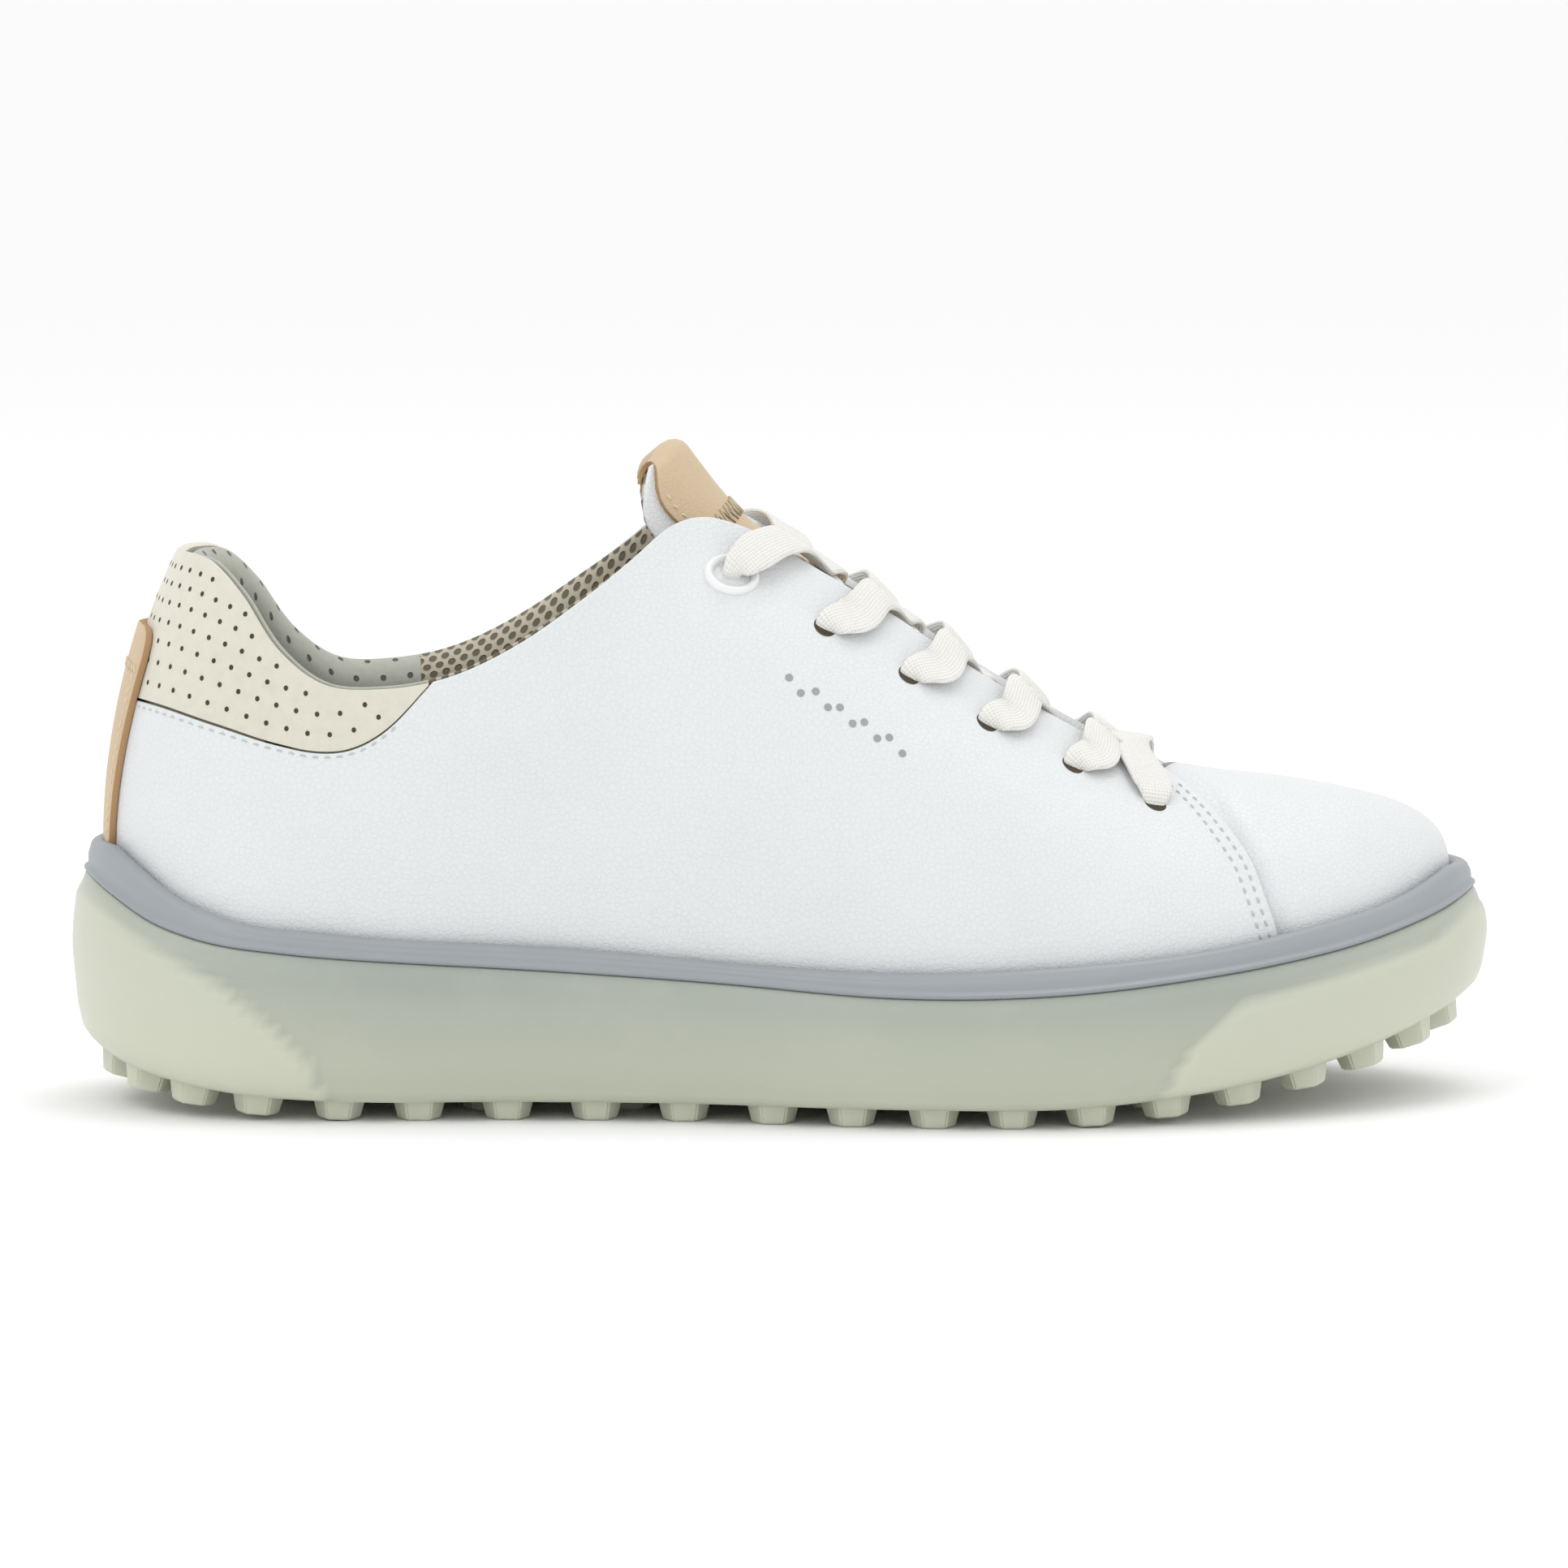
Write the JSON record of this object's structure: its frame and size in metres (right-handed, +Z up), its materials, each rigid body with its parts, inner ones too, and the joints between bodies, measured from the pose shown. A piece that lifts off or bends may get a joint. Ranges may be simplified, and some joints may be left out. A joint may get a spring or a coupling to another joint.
{
  "type": "golf shoe",
  "caption": "Low laced white leather golf shoe for the right foot, with a frosted studded rubber outsole, grey rim, perforated beige collar and tan heel strip.",
  "frame": {"origin": "bottom centre of the shoe's bounding box, on the ground under the studs", "axes": "+X along the shoe from heel to toe, +Y across it to the wearer's left (the inner side of a right shoe), +Z up"},
  "size_m": [0.27, 0.1042, 0.1257],
  "materials": {
    "white_leather": "semi-matt smooth grain",
    "nubuck": "matt napped, perforated",
    "tan_leather": "natural vegetable-tanned",
    "lining_suede": "napped",
    "lining_mesh": "open knit mesh",
    "grey_rubber": "satin",
    "clear_rubber": "frosted translucent",
    "foam": "soft foam",
    "board": "fibre board",
    "stiffener": "matt",
    "lace": "flat woven",
    "eyelet": "satin enamel",
    "steel": "spring steel",
    "aglet": "clear film"
  },
  "bodies": {
    "shoe": {"outsole": "clear_rubber", "midsole": "grey_rubber", "shank": "steel", "insole_board": "board", "vamp": "white_leather", "quarter_lateral": "white_leather", "quarter_medial": "white_leather", "collar_panel": "nubuck", "collar_foam": "foam", "heel_strip": "tan_leather", "heel_counter": "stiffener", "toe_puff": "stiffener", "heel_lining": "lining_suede", "quarter_lining_lateral": "lining_mesh", "quarter_lining_medial": "lining_mesh", "vamp_lining": "lining_mesh", "eyestay_lateral": "stiffener", "eyestay_medial": "stiffener", "top_eyelet_lateral": "eyelet", "top_eyelet_medial": "eyelet", "lace": "lace", "aglet_1": "aglet", "aglet_2": "aglet"},
    "tongue": {"tongue_outer": "white_leather", "tongue_foam": "foam", "tongue_lining": "lining_mesh", "tongue_label": "tan_leather"},
    "footbed": {"footbed_foam": "foam", "footbed_cover": "lining_suede"}
  },
  "joints": [
    {"name": "tongue_bend", "type": "hinge", "parent": "shoe", "child": "tongue", "pos_m": [0.084, 0, 0.0475], "axis": [0, 1, 0], "range_deg": [-8, 0]},
    {"name": "footbed_lift", "type": "hinge", "parent": "shoe", "child": "footbed", "pos_m": [0.117, 0.007, 0.034], "axis": [0, 1, 0], "range_deg": [0, 6]}
  ]
}
